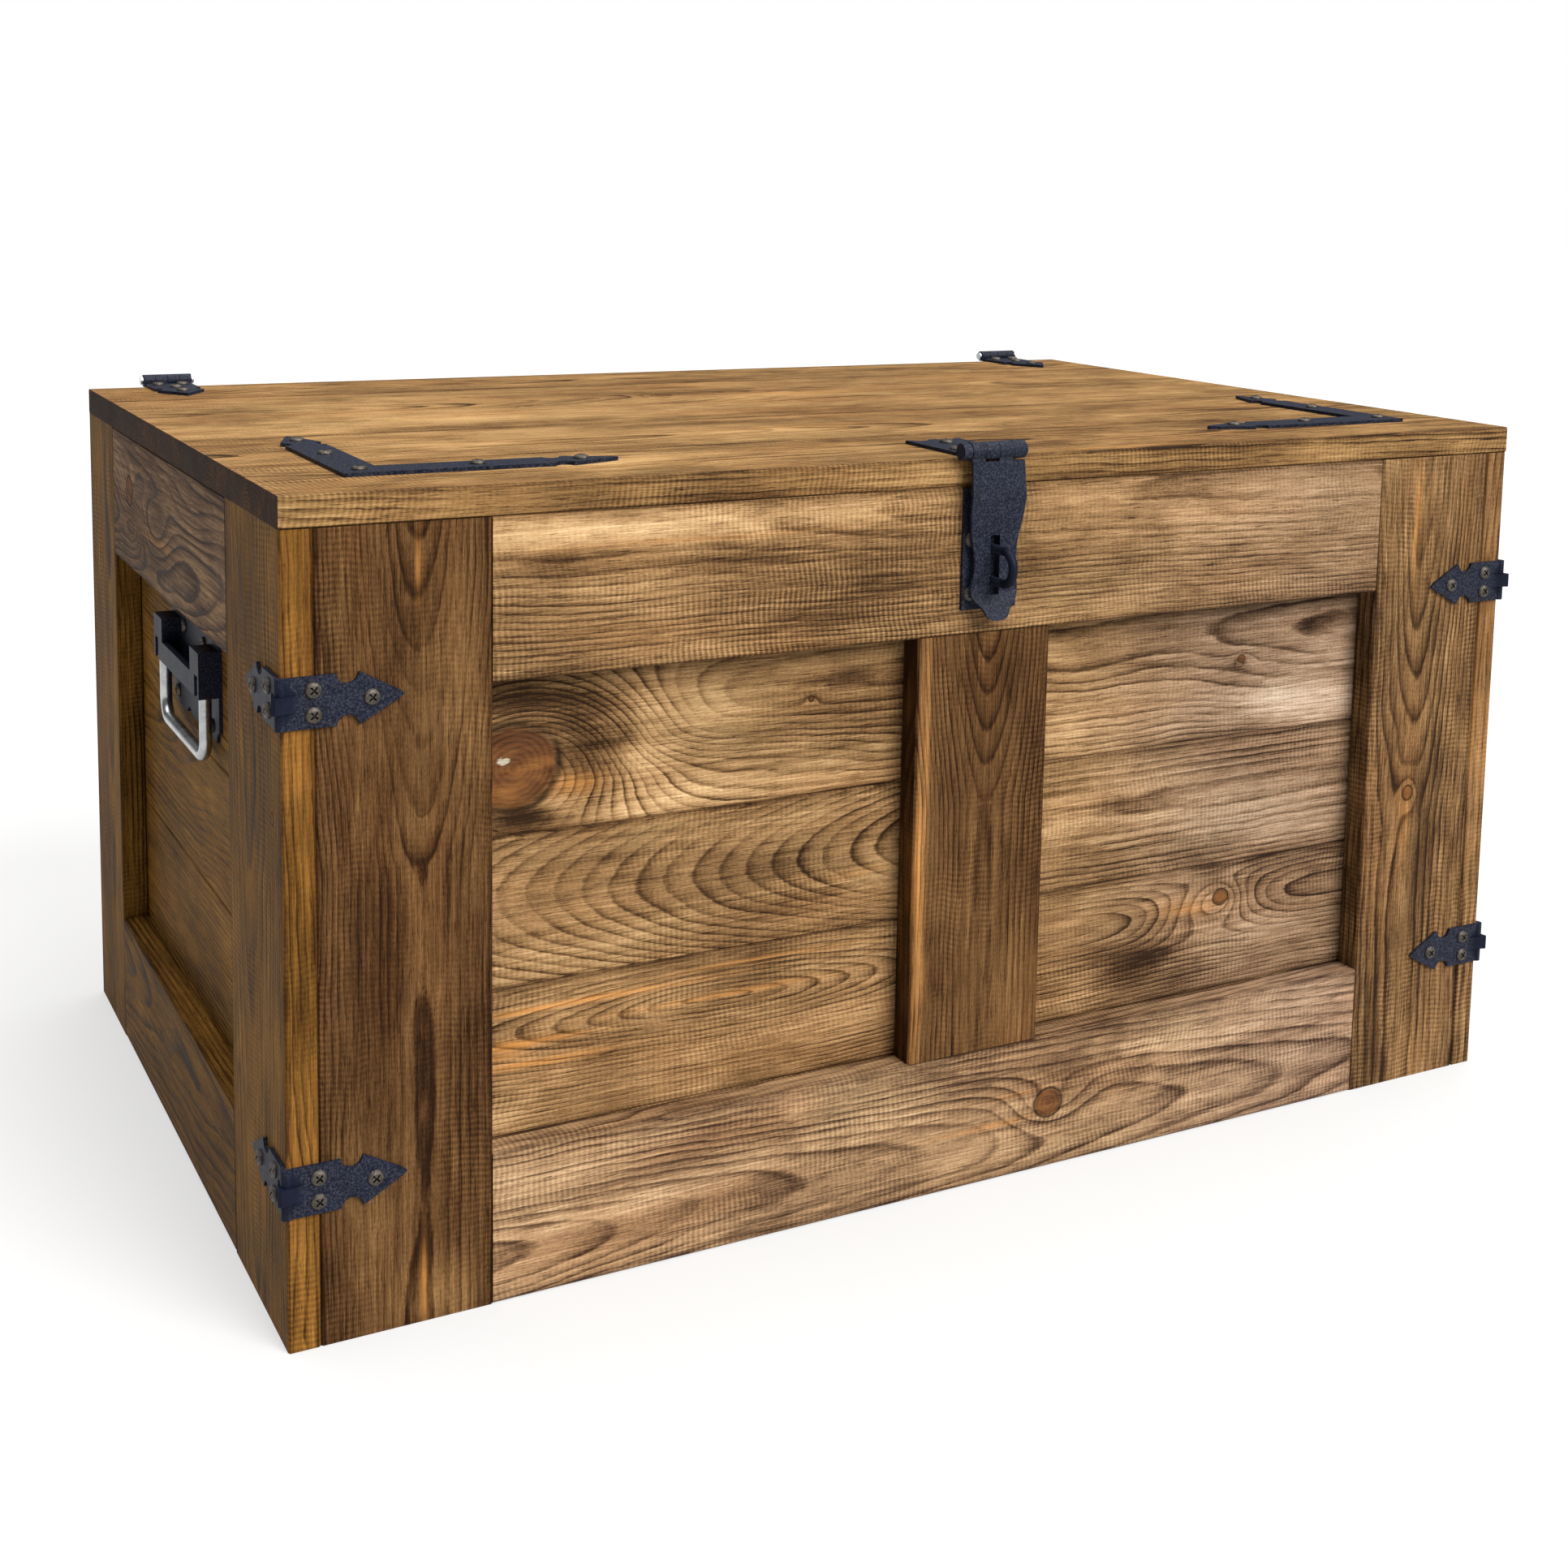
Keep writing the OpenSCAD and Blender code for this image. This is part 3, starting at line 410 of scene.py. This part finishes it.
wood("front_board_2", "xzy", "walnut", 8, pith=(14, 13), tilt=-0.135, ring=2.5, reach=(-300, -40), wave=0.5,
     knots=[(188, 137, 5)], eyes=[(176, 131, 44, 18, 15)],
     flames=[(-235, 145, 60, 1.8, 0.65), (-262, 128, 30, 2.0, 0.85), (-258, 116, 30, 1.8, 0.75),
             (-150, 134, 60, 1.6, 0.40), (-272, 124, 12, 4.5, 0.6), (165, 134, 24, 5, 0.35),
             (-130, 150, 60, 1.6, 0.35)],
     patches=[(122, 106, 30, 13, -0.34), (88, 96, 20, 10, 0.12), (200, 112, 60, 10, 0.06),
              (-200, 104, 120, 14, 0.06), (-280, 88, 20, 6, 0.20)], contrast=1.0, saw=1.0, lift=-0.02,
     painted_sheen=(40, 200, 0.8))
wood("front_board_5", "xzy", "walnut", 9)
wood("front_board_1", "xzy", "walnut", 10)

# Left side: y along the boards, z up. Its colours are multiplied by a warm wash, painted warm light on its
# shaded side
PAINTED_WARM_SHADE = (1.00, 0.85, 0.48)
wood("side_stile_front_left", "zyx", "olive", 11, pith=(10, 48), tilt=0.030, ring=3.0, knots=[(262, -232, 2.6)],
     flames=[(330, -251, 90, 2.6, 0.22), (90, -251, 90, 2.6, 0.18)],
     patches=[(360, -200, 60, 30, -0.08), (120, -230, 90, 12, 0.06)], lift=-0.10, edge=-0.03, wash=PAINTED_WARM_SHADE)
wood("side_stile_back_left", "zyx", "olive", 12, pith=(-14, 60), tilt=0.020, ring=3.0, lift=-0.10, wash=PAINTED_WARM_SHADE)
wood("side_rail_top_left", "yzx", "plum", 13, pith=(-10, 22), tilt=0.07, ring=3.8, knots=[(112, 371, 9)],
     eyes=[(40, 360, 60, 22, 22), (100, 352, 26, 12, -12), (-60, 380, 60, 18, 10)],
     flames=[(30, 352, 60, 2.0, 0.30)], contrast=1.15, relief=2.6, saw=0.5, lift=-0.22)
wood("side_rail_bottom_left", "yzx", "olive", 14, pith=(16, 50), tilt=0.030, ring=3.2, lift=-0.16, wash=PAINTED_WARM_SHADE)
wood("side_boards_left", "yzx", "olive", 15, pith=(30, 36), tilt=0.050, ring=3.2, contrast=0.9, lift=-0.08,
     wash=PAINTED_WARM_SHADE)

# Right side, out of the photo's sight: the same timber with other grain
wood("side_stile_front_right", "zyx", "walnut", 16, pith=(-12, 55), tilt=-0.03,
     flames=[(260, -248, 120, 2.0, 0.4)], lift=-0.06)
wood("side_stile_back_right", "zyx", "walnut", 17, pith=(12, 55), tilt=0.035, knots=[(120, 205, 6)], lift=-0.02)
wood("side_rail_top_right", "yzx", "walnut", 18, pith=(10, 36), tilt=0.045, eyes=[(0, 366, 90, 18, 16)],
     relief=1.6)
wood("side_rail_bottom_right", "yzx", "walnut", 19, pith=(-10, 44), tilt=-0.04, knots=[(60, 44, 8)])
wood("side_boards_right", "yzx", "walnut", 20, pith=(20, 40), tilt=0.03, knots=[(-60, 120, 7), (110, 282, 5)],
     eyes=[(20, 200, 70, 18, 20)], lift=0.02)

# Back, also out of sight
BACK_ROWS = [("walnut", (-150, 42, 8)), ("plum", (210, 122, 9)), ("walnut", (40, 196, 6)),
             ("olive", (-240, 286, 10)), ("walnut", (150, 366, 7))]
for row, (tone, knot) in enumerate(BACK_ROWS, 1):
    wood(f"back_board_{row}", "xzy", tone, 20 + row, pith=(12 * (-1) ** row, -46), tilt=0.025 * (-1) ** row,
         knots=[knot], eyes=[(knot[0] * -0.7, knot[1] + 8, 90, 18, 18)])

# Lid: x along the planks, y across, z through
wood("lid_plank_1", "xyz", "honey", 31, pith=(6, -40), tilt=0.020, ring=2.3, wave=0.6,
     flames=[(90, -242, 50, 2.0, 0.60), (-150, -214, 60, 1.6, 0.20)],
     patches=[(-200, -190, 120, 22, 0.08), (200, -170, 140, 20, -0.06), (-330, -200, 50, 12, -0.08),
              (40, -225, 60, 10, -0.08)], saw=1.1, contrast=1.0, lift=-0.04, edge=0.03)
wood("lid_plank_2", "xyz", "honey", 32, pith=(-10, -34), tilt=0.026, ring=2.4, wave=0.8,
     patches=[(-240, -100, 100, 30, 0.12), (180, -80, 140, 30, -0.04), (-60, -60, 90, 9, -0.12),
              (-20, -120, 60, 10, 0.08)], flames=[(-30, -96, 70, 5, 0.16)], saw=0.8, contrast=1.05, lift=-0.01)
wood("lid_plank_3", "xyz", "honey", 33, pith=(20, -38), tilt=0.030, ring=2.6,
     knots=[(-40, 92, 5), (-150, 60, 3)], eyes=[(60, 70, 150, 34, 20), (-200, 120, 90, 20, 10)],
     patches=[(-250, 20, 110, 50, 0.12), (-10, 96, 70, 14, -0.16), (260, 80, 100, 50, -0.05),
              (-340, 60, 30, 60, -0.08)], flames=[(60, 76, 60, 9, 0.18)], saw=0.7, contrast=1.05, lift=-0.02)
wood("lid_plank_4", "xyz", "honey", 34, pith=(-4, -44), tilt=0.022, ring=2.3, saw=0.6, contrast=1.05,
     lift=-0.06, patches=[(-60, 205, 140, 10, -0.12), (180, 230, 100, 12, 0.06)])
for i, side in enumerate(("left", "right")):
    wood("lid_batten_" + side, "yxz", "olive", 41 + i, pith=(4, 30), knots=[(60 - 90 * i, -248 + 500 * i, 6)])

# Inside
wood("floor_boards", "xyz", "honey", 51, pith=(30, -40), tilt=0.02, knots=[(-90, 40, 8), (180, -120, 6)],
     lift=-0.04)
wood("floor_cleats", "yxz", "olive", 52, pith=(0, -30))
wood("corner_posts", "zxy", "olive", 53, pith=(0, -30))

# ---------------------------------------------------------------- iron, screws and rings
iron = metal("black_powder_coat", (0.0040, 0.0056, 0.0145), 0.50, 0.0, speckle=0.35, wear=0.35,
             tint=(0.08, 0.085, 0.105), gloss=0.09)
steel = metal("galvanised_wire", (0.42, 0.43, 0.44), 0.30, 1.0, speckle=0.10, brushed=0.35, wear=0.5,
              tint=(0.85, 0.86, 0.88))
screws = metal("zinc_screws", (0.064, 0.055, 0.047), 0.46, 0.85, speckle=0.4, brushed=1.2, wear=0.5,
               tint=(0.20, 0.18, 0.16), hole_shade=0.95)
METALS = {"black_iron": iron, "zinc_wire": steel, "screw_steel": screws}
for name, slot in slots.items():
    if slot in METALS:
        dress(name, METALS[slot])

# Small round arrises that catch the light, in metres
WOOD_ARRIS, METAL_ARRIS, CLAMP_ARRIS = 0.0007, 0.0004, 0.0022
for name, o in nodes.items():
    if slots[name] == "screw_steel":
        continue
    b = o.modifiers.new("arris", "BEVEL")
    b.width, b.segments = (METAL_ARRIS if slots[name] in METALS else WOOD_ARRIS), 2
    if name == "handle_clamps":
        b.width, b.segments = CLAMP_ARRIS, 4
    b.limit_method = "ANGLE"
    b.angle_limit = math.radians(40)
    b.harden_normals = False

# ---------------------------------------------------------------- floor, light and camera
FLOOR_REACH, FLOOR_GAP = 14.0, 0.0002  # metres from the middle to its edge, and below the chest
floor_mesh = bpy.data.meshes.new("floor")
floor_z = cad_box[0].z - FLOOR_GAP
corners = [(x * FLOOR_REACH, y * FLOOR_REACH, floor_z) for x, y in ((-1, -1), (1, -1), (1, 1), (-1, 1))]
floor_mesh.from_pydata(corners, [], [(0, 1, 2, 3)])
floor = bpy.data.objects.new("floor", floor_mesh)
scene.collection.objects.link(floor)
m, tree, shader = new_material("pale_floor")
(x, y, _), _ = coords(tree)
mottle = noise(tree, vec(tree, x, y, 0.0), 0.004, 3.0)
put(tree, shader.inputs["Base Color"], mix(tree, mottle, (0.26, 0.26, 0.26), (0.28, 0.28, 0.28)))
shader.inputs["Emission Color"].default_value = (1, 1, 1, 1)
shader.inputs["Emission Strength"].default_value = 0.50
shader.inputs["Roughness"].default_value = 0.9
shader.inputs["Specular IOR Level"].default_value = 0.1
floor.data.materials.append(m)

world = bpy.data.worlds.new("studio")
scene.world = world
world.use_nodes = True
tree = world.node_tree
tree.nodes.clear()
out = tree.nodes.new("ShaderNodeOutputWorld")
seen, lights = tree.nodes.new("ShaderNodeBackground"), tree.nodes.new("ShaderNodeBackground")
seen.inputs["Color"].default_value, seen.inputs["Strength"].default_value = (1, 1, 1, 1), 1.0
lights.inputs["Color"].default_value, lights.inputs["Strength"].default_value = (0.96, 0.98, 1.0, 1), 0.15
path, both = tree.nodes.new("ShaderNodeLightPath"), tree.nodes.new("ShaderNodeMixShader")
tree.links.new(path.outputs["Is Camera Ray"], both.inputs[0])
tree.links.new(lights.outputs[0], both.inputs[1])
tree.links.new(seen.outputs[0], both.inputs[2])
tree.links.new(both.outputs[0], out.inputs[0])


def soft_light(name, direction, spread, strength, colour=(1, 1, 1)):
    """A very large, far softbox: even light over the chest and the whole floor."""
    data = bpy.data.lights.new(name, "SUN")
    data.angle, data.energy, data.color = math.radians(spread), strength, colour
    o = bpy.data.objects.new(name, data)
    scene.collection.objects.link(o)
    o.location = Vector(direction) * 4
    o.rotation_mode = "QUATERNION"
    o.rotation_quaternion = Vector(direction).to_track_quat("Z", "Y")


soft_light("key", (0.30, -0.80, 0.62), 36, 4.7, (1.0, 0.985, 0.96))
soft_light("top", (0.05, 0.10, 1.0), 70, 4.4, (1.0, 0.99, 0.97))

scene.view_settings.view_transform = "Standard"
scene.view_settings.look = "None"

# Camera: solved from the chest's own edges, placed in the chest's frame
camera = bpy.data.objects.new("camera", bpy.data.cameras.new("camera"))
scene.collection.objects.link(camera)
forward, right, down = (Vector(v).normalized() for v in (
    (0.46469, 0.87647, -0.12598), (0.88441, -0.46637, 0.01763), (-0.04330, -0.11961, -0.99188)))
camera.matrix_world = Matrix((
    (right.x, -down.x, -forward.x, -0.62585),
    (right.y, -down.y, -forward.y, -1.18925),
    (right.z, -down.z, -forward.z, 0.56997),
    (0, 0, 0, 1)))
camera.data.sensor_width = 36.0
camera.data.lens = 47.69
camera.data.shift_y = -0.22  # puts the chest where the photo's frame has it
camera.data.clip_start, camera.data.clip_end = 0.05, 60
scene.camera = camera
